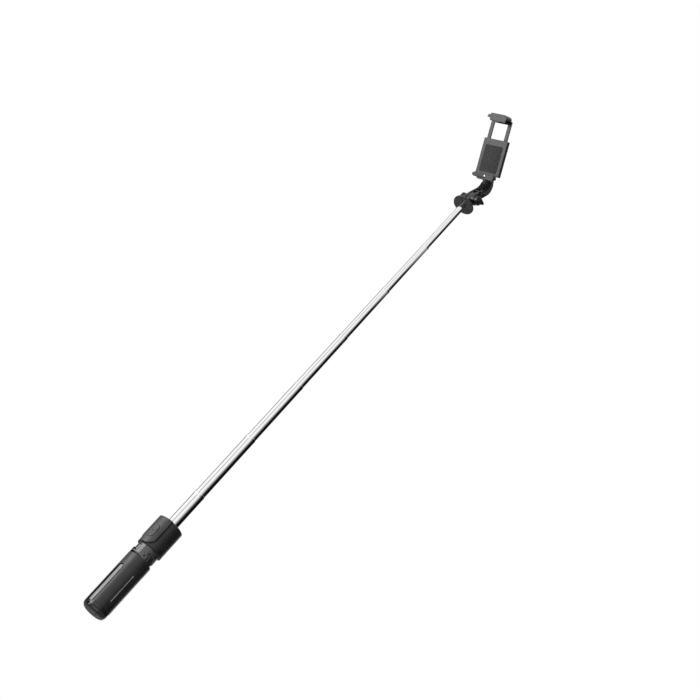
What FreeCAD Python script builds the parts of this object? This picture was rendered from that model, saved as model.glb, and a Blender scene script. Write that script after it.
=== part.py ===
"""Selfie stick with a folding stand in its handle, a seven-section pole and a tilting phone clamp.

Row frame, in millimetres: +Z runs up the pole from the handle's end, -Y is the front (the side of the
remote and of the phone's screen) and +X is the side of the thumb knob. The clamp is made in a frame of
its own (x, back, up), where back is square to the phone and up runs from the lower jaw to the upper one.
"""
import FreeCAD, Part
import math
import os

Vector = FreeCAD.Vector

# Handle
grip_radius = 13.8
leg_top = 67.5
hub_height = 13.7
hub_radius = 12.5
collar_height = 33.3
collar_radius = 14.6
collar_edge = 0.8
collar_foot_edge = 0.4
collar_web_rise = 14.0
shell_wall = 1.8
plate_thickness = 2.0
collar_screw_side = 10.0
collar_screw_rises = (7.0, 24.0)
screw_post_radius = 2.3
screw_post_reach = 4.5
screw_shank_radius = 0.9
screw_bite = 3.5
screw_head_radius = 1.7
screw_head_height = 1.2
screw_head_sunk = 1.2
screw_socket_radius = 0.7
leg_count = 3
leg_wall = 2.2
leg_side_wall = 1.6
leg_edge = 0.5
leg_rib = 1.4
leg_rib_levels = (0.36, 0.68)
leg_parting_gap = 0.3
foot_parting = 0.2
foot_height = 8.0
foot_rounding = 5.0
groove_width = 0.35
recess_side = -2.0
recess_half_width = 4.7
recess_bottom = 1.6
recess_top = 52.5
recess_depth = 1.2
strip_width = 4.2
strip_thickness = 0.8
strip_margin = 1.0
line_levels = (16.8, 49.2)
line_width = 0.8
line_depth = 0.7
line_side = 1.3
strap_hole_radius = 1.7
strap_hole_rise = 3.4
strap_hole_depth = 3.6

# Leg hinges
hinge_pin_radius = 1.0
hinge_pin_rise = 3.5
hinge_pin_offset = 9.2
ear_radius = 3.2
ear_outer_x = -11.2
ear_inner_x = -7.4
lug_start_x = -2.3
hinge_clearance = 0.3
pin_fit = 0.04
friction_bush_radius = 2.0
hinge_pin_end = 7.2
hinge_bore_start = -8.6
hinge_pin_slack = 0.1
hub_notch_half_width = 1.3
hub_notch_depth = 1.4
hub_notch_rise = 1.5
hub_notch_height = 4.0
hub_notch_turn = 54.0

# Pole
section_count = 7
base_tube_radius = 6.5
tube_wall = 0.25
shim_thickness = 0.12
slide_fit = 0.03
section_pitch = 84.0
tube_overlap = 16.0
lip_length = 2.5
stop_gap = 0.3
base_tube_showing = 44.5
core_wall = 0.65
bush_flange = 1.2
plug_head = 8.0
plug_spigot = 3.0
plug_chamfer = 0.6
spanner_hole_radius = 0.9
spanner_hole_side = 4.0
spanner_hole_depth = 1.5
bush_mouth = 1.0

# Remote
remote_half_width = 8.9
remote_radius = 16.0
remote_back = 9.3
remote_lift = 0.2
remote_wall = 1.2
remote_edge = 0.8
back_cover_thickness = 1.6
rail_half_width = 2.6
rail_height = 1.0
dock_gap = 0.3
dock_floor = 1.1
dock_wall = 2.2
dock_rail_inset = 4.0
button_length = 15.0
button_half_width = 3.9
button_rise = 0.5
button_gap = 0.2
button_drop = 11.0
button_travel = 0.4
button_flange = 0.5
button_edge = 0.25
button_skin = 0.7
button_dimple_radius = 1.3
button_dimple_lift = 0.9
board_thickness = 0.8
board_half_width = 6.4
switch_size = 4.0
cell_radius = 5.0
cell_thickness = 1.6

# Head
cap_radius = 14.0
cap_thickness = 2.0
cap_edge = 0.5
cap_dimple = (10.2, 6.0)
cap_dimple_radius = 0.8
cap_dimple_depth = 0.6
plinth_height = 2.2
plinth_margin = 0.5
prong_edge = 0.35
spigot_length = 13.0
swivel_fit = 0.05
hinge_rise = 12.3
prong_radius = 6.0
arm_prong_radius = 5.6
base_prongs = ((-10.0, -7.2), (-4.2, -1.4), (2.0, 5.2))
arm_prongs = ((-6.9, -4.5), (-1.1, 1.7))
boss_side = (5.5, 9.0)
boss_radius = 7.0
boss_length = 6.0
boss_rim = 1.8
boss_rim_rise = 0.8
bolt_radius = 2.0
bolt_head_radius = 3.4
bolt_head_sunk = 1.5
bolt_head_proud = 0.9
bolt_socket_radius = 1.5
bolt_head_edge = 0.5
knob_radius = 6.0
knob_thickness = 4.9
knob_neck_radius = 4.6
wing_reach = 10.8
wing_tip_radius = 1.6
wing_angle = 33.0
wing_step = 1.4
wing_edge = 0.7
knob_edge = 0.9
insert_radius = 3.0
insert_cover = 0.6
knob_washer_thickness = 0.4

# Arm, measured in the clamp's directions from the tilt hinge
rest_tilt = 45.0
arm_thickness = 4.8
arm_bend_radius = 17.0
arm_bend_back = 17.0
arm_bend_up = 28.0
swivel_up = 56.0
arm_end_radius = 11.0
arm_foot_half_width = 8.3
arm_top_half_width = 6.5
arm_rim_width = 1.3
arm_rim_rise = 0.7
arm_pocket_depth = 1.5
arm_start = 8.0
arm_disc_edge = 0.8
# Corners of the pockets in the arm's front face, as (x, rise above the tilt hinge).
arm_pockets = (((-6.2, 22.5), (1.0, 22.5), (-2.6, 33.0)),
               ((-0.9, 33.6), (6.3, 33.6), (2.7, 23.6)),
               ((-6.4, 20.7), (-3.0, 12.4), (0.4, 20.7)),
               ((2.4, 20.7), (7.0, 20.7), (7.0, 12.4), (-1.0, 12.4)))

# Phone clamp
jaw_opening = 70.0
jaw_closes = 14.0
jaw_opens = 16.0
body_half_width = 17.0
body_height = 46.0
body_foot = -0.5
body_depth = 4.7
body_corner = 0.9
body_edge = 0.3
cover_thickness = 1.0
arm_gap = 0.3
channel_side_wall = 2.4
channel_wall = 1.1
channel_floor = 2.0
jaw_depth = 10.4
jaw_height = 4.4
jaw_left_inset = 3.5
jaw_rear = 3.5
neck_inset = 5.5
neck_drop = 2.6
neck_rise = 3.0
jaw_corner = 1.6
jaw_edge = 0.5
lip_depth = 2.2
lip_height = 1.6
lip_corner = 1.2
step_height = 2.1
step_inset = 1.0
step_left_inset = 9.0
step_right_inset = 3.0
step_corner = 1.4
front_block_start = 5.5
front_block_proud = 1.6
front_block_corner = 2.6
pad_thickness = 0.8
pad_proud = 0.4
pad_margin = 6.5
pad_front_gap = 0.2
pad_back_gap = 0.5
back_pad_margin = 4.5
back_pad_low = 4.0
back_pad_drop = 8.0
plate_proud = 0.7
plate_edge = 0.2
plate_left_inset = 2.6
plate_pin = (3.9, -1.4)
plate_pin_head_radius = 0.9
plate_pin_head = 0.4
cover_screw_inset = 1.2
cover_screw_low = 5.0
cover_screw_drop = 4.0
cover_screw_head_radius = 1.3
cover_screw_head_height = 0.6
cover_screw_socket_radius = 0.5
upper_jaw_height = 6.3
upper_left_inset = 5.5
upper_right_inset = 4.5
upper_corners = (2.0, 4.5)
upper_foot_inset = 1.7
upper_foot_height = 3.0
upper_lip_height = 3.0
yoke_height = 0.7
yoke_drop = 3.5
nub_radius = 1.2
nub_inset = 1.6
rail_width = 4.5
rail_thickness = 2.2
slide_gap = 0.2
crossbar_height = 4.0
spring_inset = 3.4
spring_radius = 1.0
spring_wire_radius = 0.22
spring_turns = 12
rivet_radius = 2.5
rivet_head_radius = 5.0
rivet_head_height = 1.4
rivet_head_edge = 0.6
rivet_flange = 1.5
rivet_flange_thickness = 0.9
swivel_washer_radius = 8.0
screw_radius = 0.7

# Levels and places that follow from the sizes above
hub_top = leg_top + hub_height
handle_top = hub_top + collar_height
core_inner = base_tube_radius + shim_thickness + slide_fit
core_radius = core_inner + core_wall
base_tube_top = handle_top + base_tube_showing
radius_step = tube_wall + shim_thickness + slide_fit
tube_length = section_pitch + tube_overlap
shim_length = tube_overlap - lip_length - stop_gap
cap_bottom = base_tube_top + section_pitch * (section_count - 1) - 1.0
cap_top = cap_bottom + cap_thickness
hinge_z = cap_top + hinge_rise
pin_z = leg_top + hinge_pin_rise
leg_inner = core_radius + 0.4
arm_plane_back = arm_bend_back + arm_bend_radius
clamp_back = arm_plane_back - arm_thickness / 2 - arm_gap - cover_thickness - body_depth
clamp_up = swivel_up - body_height / 2 + 0.7
swivel_local_up = swivel_up - clamp_up
channel_half_width = body_half_width - channel_side_wall
jaw_left = jaw_left_inset - body_half_width
spring_side = channel_half_width - slide_gap - rail_width - spring_inset

parts = {}


def block(x0, x1, y0, y1, z0, z1):
    """A box between two corners."""
    return Part.makeBox(x1 - x0, y1 - y0, z1 - z0, Vector(x0, y0, z0))


def rod_x(radius, x0, x1, y=0.0, z=0.0):
    """A cylinder along X."""
    return Part.makeCylinder(radius, x1 - x0, Vector(x0, y, z), Vector(1, 0, 0))


def rod_y(radius, y0, y1, x=0.0, z=0.0):
    """A cylinder along Y."""
    return Part.makeCylinder(radius, y1 - y0, Vector(x, y0, z), Vector(0, 1, 0))


def rod_z(radius, z0, z1, x=0.0, y=0.0):
    """A cylinder along Z."""
    return Part.makeCylinder(radius, z1 - z0, Vector(x, y, z0))


def ring_z(outer, inner, z0, z1):
    """A round sleeve about Z."""
    return rod_z(outer, z0, z1).cut(rod_z(inner, z0 - 1, z1 + 1))


def prism(points, direction):
    """A straight prism on a closed polygon."""
    return Part.Face(Part.makePolygon(points + [points[0]])).extrude(direction)


def stadium_y(half_width, z0, z1, y0, y1, round_top=True):
    """A slot-shaped prism along Y with a round lower end, and a round upper end if asked."""
    high = z1 - half_width if round_top else z1
    solid = block(-half_width, half_width, y0, y1, z0 + half_width, high)
    solid = solid.fuse(rod_y(half_width, y0, y1, 0, z0 + half_width))
    if round_top:
        solid = solid.fuse(rod_y(half_width, y0, y1, 0, high))
    return solid.removeSplitter()


def turned(shape, degrees, axis=(0, 0, 1), about=(0, 0, 0)):
    """A turned copy."""
    copy = shape.copy()
    copy.rotate(Vector(*about), Vector(*axis), degrees)
    return copy


def wedge(half_angle, z0, z1, inset=0.0):
    """A sector about Z that opens towards -Y; its side planes are moved inwards by inset."""
    reach = 60.0
    start = inset / math.sin(math.radians(half_angle))
    side = math.radians(half_angle)
    points = [Vector(0, -start, z0),
              Vector(reach * math.sin(side), -start - reach * math.cos(side), z0),
              Vector(0, -start - 2 * reach, z0),
              Vector(-reach * math.sin(side), -start - reach * math.cos(side), z0)]
    return prism(points, Vector(0, 0, z1 - z0))


def dovetail(half_width, foot_y, face_y, z0, z1):
    """A rail or groove along Z that is widest at its face."""
    foot = half_width - 0.4
    return prism([Vector(-foot, foot_y, z0), Vector(foot, foot_y, z0), Vector(half_width, face_y, z0),
                  Vector(-half_width, face_y, z0)], Vector(0, 0, z1 - z0))


def joined(shapes):
    """One solid from several that touch or overlap."""
    first, rest = shapes[0], shapes[1:]
    return first.multiFuse(rest).removeSplitter() if rest else first


def edges_where(shape, test):
    """The edges whose bounding box passes a test."""
    return [edge for edge in shape.Edges if test(edge.BoundBox)]


def edges_at_radius(shape, radius):
    """The edges whose ends both lie at a radius from the Z axis."""
    return [edge for edge in shape.Edges
            if all(abs(math.hypot(vertex.X, vertex.Y) - radius) < 0.01 for vertex in edge.Vertexes)]


# Handle -----------------------------------------------------------------------------------------------

def remote_outline(grow, y0, y1, top):
    """The remote's front outline as a prism: straight sides and a round lower end."""
    low = hub_top + remote_lift - grow
    return stadium_y(remote_half_width + grow, low, top, y0, y1, round_top=False)


def make_collar():
    """The two halves of the collar; the front one holds the remote's dock."""
    z0, z1 = hub_top, handle_top
    bush_seat = core_radius + bush_flange
    shell = ring_z(collar_radius, collar_radius - shell_wall, z0, z1)
    floor = ring_z(collar_radius, core_radius, z0, z0 + plate_thickness)
    web_z = z0 + collar_web_rise
    web = ring_z(collar_radius, core_radius, web_z, web_z + plate_thickness)
    roof = ring_z(collar_radius, bush_seat, z1 - lip_length, z1)
    posts = []
    for side in (-1, 1):
        for rise in collar_screw_rises:
            posts.append(rod_y(screw_post_radius, -screw_post_reach, collar_radius,
                               side * collar_screw_side, z0 + rise))
    skin = rod_z(collar_radius, z0, z1)
    skin = skin.makeFillet(collar_edge, edges_where(skin, lambda box: box.ZMin > z1 - 0.01))
    skin = skin.makeFillet(collar_foot_edge, edges_where(skin, lambda box: box.ZMax < z0 + 0.01))
    body = joined([shell, floor, web, roof] + posts).common(skin)
    body = body.cut(rod_z(core_radius, z0, z1 - lip_length))
    front = body.common(block(-30, 30, -30, 0, z0, z1))
    rear = body.common(block(-30, 30, 0, 30, z0, z1))
    dock_back = remote_back - dock_gap
    bay = remote_outline(dock_gap, -30, -dock_back, z1 + 5)
    dock_side = remote_half_width + dock_wall
    wall = block(-dock_side, dock_side, -dock_back - 5.0, -dock_back + dock_floor, z0, z1).common(skin)
    front = front.fuse(wall).cut(bay).cut(rod_z(core_radius, z0, z1 - lip_length))
    front = front.cut(rod_z(bush_seat, z1 - lip_length, z1 + 1))
    rail = dovetail(rail_half_width, -dock_back + 0.2, -dock_back - rail_height, z0 + dock_rail_inset,
                    z1 - dock_rail_inset)
    front = front.fuse(rail).removeSplitter()
    screws = []
    surface = math.sqrt(collar_radius ** 2 - collar_screw_side ** 2)
    head_back = surface - screw_head_sunk
    head_front = head_back - screw_head_height
    for side in (-1, 1):
        x = side * collar_screw_side
        for rise in collar_screw_rises:
            z = z0 + rise
            head = rod_y(screw_head_radius, head_front, head_back, x, z)
            socket = rod_y(screw_socket_radius, head_back - screw_head_height / 2, head_back + 1, x, z)
            shank = rod_y(screw_shank_radius, -screw_bite, head_front + 0.1, x, z)
            screws.append(head.cut(socket).fuse(shank))
            rear = rear.cut(rod_y(screw_head_radius + 0.05, head_front, surface + 5, x, z))
            rear = rear.cut(rod_y(screw_shank_radius, -1, surface, x, z))
            front = front.cut(rod_y(screw_shank_radius, -screw_bite, 1, x, z))
    parts["collar_front"] = front
    parts["collar_rear"] = rear
    parts["collar_screws"] = Part.makeCompound(screws)


def make_core():
    """The tube that takes the folded pole, the bush at its mouth and the plug at its foot."""
    parts["core_tube"] = ring_z(core_radius, core_inner, plug_head, handle_top - lip_length)
    bush = ring_z(core_radius + bush_flange, base_tube_radius + slide_fit, handle_top - lip_length,
                  handle_top)
    mouth = Part.makeCone(base_tube_radius + slide_fit, base_tube_radius + bush_mouth, bush_mouth,
                          Vector(0, 0, handle_top - bush_mouth))
    parts["guide_bush"] = bush.cut(mouth)
    head = rod_z(core_radius, 0, plug_head)
    head = head.makeChamfer(plug_chamfer, edges_where(head, lambda box: abs(box.ZMax) < 0.01))
    spanner_holes = rod_z(spanner_hole_radius, -1, spanner_hole_depth, -spanner_hole_side, 0).fuse(
        rod_z(spanner_hole_radius, -1, spanner_hole_depth, spanner_hole_side, 0))
    spigot = rod_z(core_inner, plug_head, plug_head + plug_spigot)
    parts["core_plug"] = head.fuse(spigot).cut(spanner_holes)


def leg_angle(index):
    """Turn of a leg about Z from the front leg's place."""
    return 360.0 / leg_count * index


def hinge_rod(radius, x0, x1):
    """A cylinder on the front leg's hinge line."""
    return rod_x(radius, x0, x1, -hinge_pin_offset, pin_z)


def make_hub():
    """The hub under the collar with one lug for each leg, its pins and its friction bushes."""
    low = leg_top + hinge_clearance
    hub = ring_z(hub_radius, core_radius, low, hub_top)
    pins = []
    bushes = []
    outer = -hub_radius - 3
    for index in range(leg_count):
        swing = block(-20, 20, outer, -hinge_pin_offset, low - 1, pin_z)
        swing = swing.cut(hinge_rod(ear_radius, -20, 20))
        ear_x0, ear_x1 = ear_outer_x - 0.4, ear_inner_x + hinge_clearance
        room_radius = ear_radius + hinge_clearance
        ear_room = block(ear_x0, ear_x1, outer, -hinge_pin_offset + room_radius, low - 1, pin_z)
        ear_room = ear_room.fuse(hinge_rod(room_radius, ear_x0, ear_x1))
        ear_front = block(ear_x0, ear_x1, outer, -hinge_pin_offset, low - 1, pin_z + room_radius)
        gap = block(ear_inner_x, lug_start_x, outer, -hinge_pin_offset, low - 1, hub_top - 1.5)
        gap = gap.fuse(hinge_rod(friction_bush_radius + 0.2, ear_inner_x, lug_start_x))
        bore = hinge_rod(hinge_pin_radius, hinge_bore_start, 20)
        notch_z = pin_z + hub_notch_rise
        notch = block(-hub_notch_half_width, hub_notch_half_width, outer, hub_notch_depth - hub_radius,
                      notch_z, notch_z + hub_notch_height)
        notch = turned(notch, hub_notch_turn)
        for tool in (swing, ear_room, ear_front, gap, bore, notch):
            hub = hub.cut(turned(tool, leg_angle(index)))
        pin = hinge_rod(hinge_pin_radius, hinge_bore_start + hinge_pin_slack, hinge_pin_end)
        pins.append(turned(pin, leg_angle(index)))
        sleeve = hinge_rod(friction_bush_radius, ear_inner_x + 0.4, lug_start_x - 0.2)
        bushes.append(turned(sleeve.cut(hinge_rod(hinge_pin_radius, -20, 20)), leg_angle(index)))
    parts["hinge_hub"] = hub.common(ring_z(hub_radius, core_radius, low, hub_top))
    parts["hinge_pins"] = Part.makeCompound(pins)
    parts["hinge_friction_bushes"] = Part.makeCompound(bushes)


def leg_outline(z0, z1, inset=0.0):
    """A leg's sector in the front leg's place."""
    return wedge(180.0 / leg_count, z0, z1, leg_parting_gap / 2 + inset)


def parting_grooves(z0, z1):
    """The small V that runs down both long edges of a leg."""
    grooves = []
    for side in (-1, 1):
        half = groove_width / 2
        bar = turned(block(-half, half, -half, half, z0, z1), 45)
        bar.translate(Vector(0, -grip_radius, 0))
        grooves.append(turned(bar, side * 180.0 / leg_count))
    return Part.makeCompound(grooves)


def grip_recess():
    """The wide shallow recess down the front leg."""
    outline = stadium_y(recess_half_width, recess_bottom, recess_top, -30, 0)
    outline.translate(Vector(recess_side, 0, 0))
    return outline.cut(rod_z(grip_radius - recess_depth, -1, leg_top + 1))


def side_line(outer, inner):
    """A narrow band beside a leg's parting line, between two radii, in the front leg's place."""
    x0 = line_side - line_width / 2
    band = block(x0, x0 + line_width, -30, 0, line_levels[0], line_levels[1])
    return turned(band, -180.0 / leg_count).common(ring_z(outer, inner, -1, leg_top))


def make_legs():
    """The three legs that close into the handle, their end caps, the strip and the side line."""
    sleeve = ring_z(grip_radius, leg_inner, foot_height, leg_top)
    sleeve = sleeve.makeFillet(leg_edge, edges_where(
        sleeve, lambda box: box.ZMin > leg_top - 0.01 and box.XMax > grip_radius - 0.01))
    sleeve = sleeve.makeChamfer(foot_parting, edges_where(
        sleeve, lambda box: box.ZMax < foot_height + 0.01 and box.XMax > grip_radius - 0.01))
    shell = sleeve.common(leg_outline(foot_height, leg_top))
    pocket = ring_z(grip_radius - leg_wall, 0.5, foot_height + 2.5, leg_top - 3.5)
    pocket = pocket.common(leg_outline(foot_height, leg_top, leg_side_wall))
    for level in leg_rib_levels:
        z = foot_height + (leg_top - foot_height) * level
        pocket = pocket.cut(rod_z(grip_radius, z, z + leg_rib))
    shell = shell.cut(pocket)
    ear = block(ear_outer_x, ear_inner_x, -hinge_pin_offset - ear_radius, -hinge_pin_offset + ear_radius,
                leg_top - 1.0, pin_z).fuse(hinge_rod(ear_radius, ear_outer_x, ear_inner_x))
    ear = ear.common(ring_z(grip_radius - 0.1, leg_inner, leg_top - 1.0, hub_top)).common(
        leg_outline(leg_top - 2, hub_top, 0.1))
    ear_bore = hinge_rod(hinge_pin_radius + pin_fit, hinge_bore_start, 0)
    shell = shell.fuse(ear).cut(ear_bore).removeSplitter()
    shell = shell.cut(parting_grooves(foot_height - 1, leg_top + 1))

    corner = grip_radius - foot_rounding
    arc = Part.Arc(Vector(corner, 0, 0),
                   Vector(corner + foot_rounding * math.sin(math.radians(45)), 0,
                          foot_rounding - foot_rounding * math.cos(math.radians(45))),
                   Vector(grip_radius, 0, foot_rounding)).toShape()
    outline = Part.Wire([Part.makeLine(Vector(leg_inner, 0, 0), Vector(corner, 0, 0)), arc,
                         Part.makeLine(Vector(grip_radius, 0, foot_rounding),
                                       Vector(grip_radius, 0, foot_height - foot_parting)),
                         Part.makeLine(Vector(grip_radius, 0, foot_height - foot_parting),
                                       Vector(grip_radius - foot_parting, 0, foot_height)),
                         Part.makeLine(Vector(grip_radius - foot_parting, 0, foot_height),
                                       Vector(leg_inner, 0, foot_height)),
                         Part.makeLine(Vector(leg_inner, 0, foot_height), Vector(leg_inner, 0, 0))])
    foot = Part.Face(outline).revolve(Vector(0, 0, 0), Vector(0, 0, 1), 360)
    foot = foot.common(leg_outline(-1, foot_height))

    for index in range(leg_count):
        leg_shell, leg_foot = shell.copy(), foot.copy()
        if index == 0:
            leg_shell = leg_shell.cut(grip_recess())
            strap_hole = rod_y(strap_hole_radius, -grip_radius, strap_hole_depth - grip_radius, recess_side,
                               strap_hole_rise)
            leg_foot = leg_foot.cut(grip_recess()).cut(strap_hole)
            strip = ring_z(grip_radius - recess_depth + strip_thickness, grip_radius - recess_depth,
                           foot_height - 1.4, recess_top - strip_margin)
            strip_x0 = recess_side - strip_width / 2
            parts["leg_1_grip_strip"] = strip.common(
                block(strip_x0, strip_x0 + strip_width, -30, 0, 0, recess_top))
        if index == 1:
            leg_shell = leg_shell.cut(side_line(grip_radius + 1, grip_radius - line_depth))
            parts["leg_2_side_line"] = turned(side_line(grip_radius, grip_radius - line_depth),
                                              leg_angle(index))
        name = "leg_%d" % (index + 1)
        parts[name + "_shell"] = turned(leg_shell, leg_angle(index))
        parts[name + "_foot"] = turned(leg_foot, leg_angle(index))


def make_remote():
    """The wireless remote that slides up out of its dock in the collar."""
    top = handle_top
    seam = remote_back + back_cover_thickness
    cavity_radius = remote_radius - remote_wall
    body = remote_outline(0, -30, -seam, top).common(rod_z(remote_radius, hub_top - 5, top))
    body = body.makeFillet(remote_edge, edges_at_radius(body, remote_radius))
    cavity = remote_outline(-remote_wall, -30, -seam + 1, top - remote_wall).common(
        rod_z(cavity_radius, hub_top - 5, top))
    button_top = top - button_drop
    button_low = button_top - button_length
    hole = stadium_y(button_half_width + button_gap, button_low - button_gap, button_top + button_gap,
                     -30, -seam - 1)
    front = body.cut(cavity).cut(hole)
    back = remote_outline(0, -seam, -remote_back, top)
    groove = dovetail(rail_half_width + 0.2, -remote_back + 0.2, -remote_back + dock_gap - rail_height - 0.2,
                      hub_top - 5, top - dock_rail_inset + 0.5)
    parts["remote_front_cover"] = front
    parts["remote_back_cover"] = back.cut(groove)

    crown = remote_radius + button_rise
    cap = stadium_y(button_half_width, button_low, button_top, -30, -10).common(
        ring_z(crown, cavity_radius - button_skin, button_low, button_top))
    cap = cap.makeFillet(button_edge, edges_at_radius(cap, crown))
    flange = stadium_y(button_half_width + button_flange, button_low - button_flange,
                       button_top + button_flange, -30, -10)
    flange = flange.common(ring_z(cavity_radius - 0.2, cavity_radius - button_skin, button_low - 1,
                                  button_top + 1))
    centre = (button_low + button_top) / 2
    board_back = seam + 0.2
    switch_face = board_back + board_thickness + 0.6
    plunger = rod_y(1.2, -cavity_radius + 0.5, -switch_face - button_travel - 0.1, 0, centre)
    dimple = Part.makeSphere(button_dimple_radius, Vector(0, -crown - button_dimple_lift, centre))
    parts["remote_button"] = joined([cap, flange, plunger]).cut(dimple)

    cell_z = hub_top + remote_lift + remote_wall + cell_radius + 0.4
    board_low = cell_z + cell_radius + 0.4
    board_face = board_back + board_thickness
    parts["remote_board"] = block(-board_half_width, board_half_width, -board_face, -board_back, board_low,
                                  top - 2.0)
    half = switch_size / 2
    parts["remote_switch"] = block(-half, half, -switch_face, -board_face, centre - half, centre + half)
    cell_back = seam + 0.1
    parts["remote_coin_cell"] = rod_y(cell_radius, -cell_back - cell_thickness, -cell_back, 0, cell_z)
    parts["remote_battery_contact"] = block(-2.0, 2.0, -cell_back - cell_thickness - 0.25,
                                            -cell_back - cell_thickness, cell_z - 3.0, board_low + 0.9).cut(
        block(-3, 3, -board_back - board_thickness, -board_back, board_low - 0.2, top))


# Pole -------------------------------------------------------------------------------------------------

def make_pole():
    """Seven thin tubes; each has a rolled-in lip at its top and a friction shim round its foot."""
    for index in range(section_count):
        outer = base_tube_radius - radius_step * index
        top = base_tube_top + section_pitch * index
        bottom = top - tube_length
        last = index == section_count - 1
        if last:
            top = cap_bottom - 0.1
        tube = ring_z(outer, outer - tube_wall, bottom, top)
        if not last:
            lip = ring_z(outer - 0.05, outer - radius_step + slide_fit, top - lip_length, top)
            tube = tube.fuse(lip).removeSplitter()
        rolled = [edge for edge in tube.Edges if edge.BoundBox.ZMin > top - 0.01
                  and abs(edge.BoundBox.XMax - outer) < 0.01]
        tube = tube.makeFillet(0.15, rolled)
        number = index + 1
        parts["tube_%d" % number] = tube
        parts["shim_%d" % number] = ring_z(outer + shim_thickness, outer, bottom, bottom + shim_length)


# Head -------------------------------------------------------------------------------------------------

def lean(shape, degrees):
    """Turns a shape that stands up from the tilt hinge backwards, and puts it on the hinge."""
    copy = turned(shape, -degrees, (1, 0, 0))
    copy.translate(Vector(0, 0, hinge_z))
    return copy


def to_head(shape):
    """Places a shape of the (x, back, up) frame that starts at the tilt hinge."""
    return lean(shape, -rest_tilt)


def to_clamp(shape):
    """Places a shape of the clamp's own frame, whose origin is on the lower pad at the phone's back."""
    copy = shape.copy()
    copy.translate(Vector(0, clamp_back, clamp_up))
    return to_head(copy)


def make_cap():
    """The round cap on the pole with the three base prongs, and the bolt through them."""
    disc = rod_z(cap_radius, cap_bottom, cap_top)
    disc = disc.makeFillet(cap_edge, edges_where(disc, lambda box: box.ZLength < 0.1))
    dimple = rod_z(cap_dimple_radius, cap_bottom - 1, cap_bottom + cap_dimple_depth, *cap_dimple)
    last_inner = base_tube_radius - radius_step * (section_count - 1) - tube_wall
    spigot = rod_z(last_inner - swivel_fit, cap_bottom - spigot_length, cap_bottom + 0.5)
    x0, x1 = base_prongs[0][0], base_prongs[-1][1]
    plinth = block(x0, x1, -prong_radius - plinth_margin, prong_radius + plinth_margin, cap_top - 0.2,
                   cap_top + plinth_height)
    solids = [disc, spigot, plinth]
    for low, high in base_prongs:
        prong = joined([block(low, high, -prong_radius, prong_radius, cap_top, hinge_z),
                        rod_x(prong_radius, low, high, 0, hinge_z)])
        solids.append(prong.makeFillet(prong_edge, edges_where(
            prong, lambda box: box.XLength < 0.01 and box.ZMax > cap_top + 0.01)))
    cap = joined(solids).cut(dimple)
    cap = cap.cut(rod_x(bolt_radius, x0 - 1, x1 + 1, 0, hinge_z))
    parts["pole_cap"] = cap.cut(rod_x(bolt_head_radius, x0 - 1, x0 + bolt_head_sunk, 0, hinge_z))

    knob_start = boss_side[1] + boss_rim_rise + hinge_clearance
    shank_end = knob_start + knob_thickness - 0.8
    head = rod_x(bolt_head_radius, x0 - bolt_head_proud, x0 + bolt_head_sunk, 0, hinge_z)
    head = head.makeFillet(bolt_head_edge, edges_where(
        head, lambda box: box.XMax < x0 - bolt_head_proud + 0.1))
    corners = [math.radians(angle) for angle in range(0, 360, 60)]
    socket = prism([Vector(x0 - bolt_head_proud - 0.6, bolt_socket_radius * math.cos(angle),
                           hinge_z + bolt_socket_radius * math.sin(angle)) for angle in corners],
                   Vector(bolt_head_proud + 0.9, 0, 0))
    bolt = head.cut(socket).fuse(rod_x(bolt_radius, x0 + bolt_head_sunk, shank_end, 0, hinge_z))
    parts["hinge_bolt"] = bolt.removeSplitter()


def make_knob():
    """The winged thumb knob, its brass insert and the washer under it."""
    face = boss_side[1]
    start = face + boss_rim_rise + hinge_clearance
    end = start + knob_thickness
    body = rod_x(knob_radius, start, end)
    body = body.makeFillet(knob_edge, edges_where(body, lambda box: box.XMin > end - 0.1))
    wing_start = start + wing_step
    neck = rod_x(knob_neck_radius, face + 0.5, start + 0.1)
    tip_y = wing_reach - wing_tip_radius
    root = knob_neck_radius - 0.4
    slope = math.acos((root - wing_tip_radius) / tip_y)
    points = []
    for centre, radius in ((0.0, root), (tip_y, wing_tip_radius)):
        for side in (1, -1):
            points.append(Vector(wing_start, centre + radius * math.cos(slope),
                                 side * radius * math.sin(slope)))
    web = prism([points[0], points[2], points[3], points[1]], Vector(knob_thickness, 0, 0))
    web = joined([web, rod_x(root, wing_start, wing_start + knob_thickness),
                  rod_x(wing_tip_radius, wing_start, wing_start + knob_thickness, tip_y)])
    far = edges_where(web, lambda box: box.XMin > wing_start + knob_thickness - 0.1)
    web = turned(web.makeFillet(wing_edge, far), wing_angle, (1, 0, 0))
    knob = joined([body, neck, web])
    knob = knob.cut(rod_x(insert_radius, face, end - insert_cover))
    insert = rod_x(insert_radius, face + 0.5, end - insert_cover)
    insert = insert.cut(rod_x(bolt_radius + swivel_fit, face, end))
    washer = rod_x(knob_neck_radius, face, face + knob_washer_thickness)
    washer = washer.cut(rod_x(bolt_radius + 0.1, face - 1, face + 1))
    for name, shape in (("thumb_knob", knob), ("knob_insert", insert), ("knob_washer", washer)):
        moved = shape.copy()
        moved.translate(Vector(0, 0, hinge_z))
        parts[name] = moved


def arm_slope():
    """Angle, in the (back, up) plane, of the straight run from the tilt hinge to the bend."""
    distance = math.hypot(arm_bend_back, arm_bend_up)
    return math.atan2(arm_bend_up, arm_bend_back) - math.asin(arm_bend_radius / distance)


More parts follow.
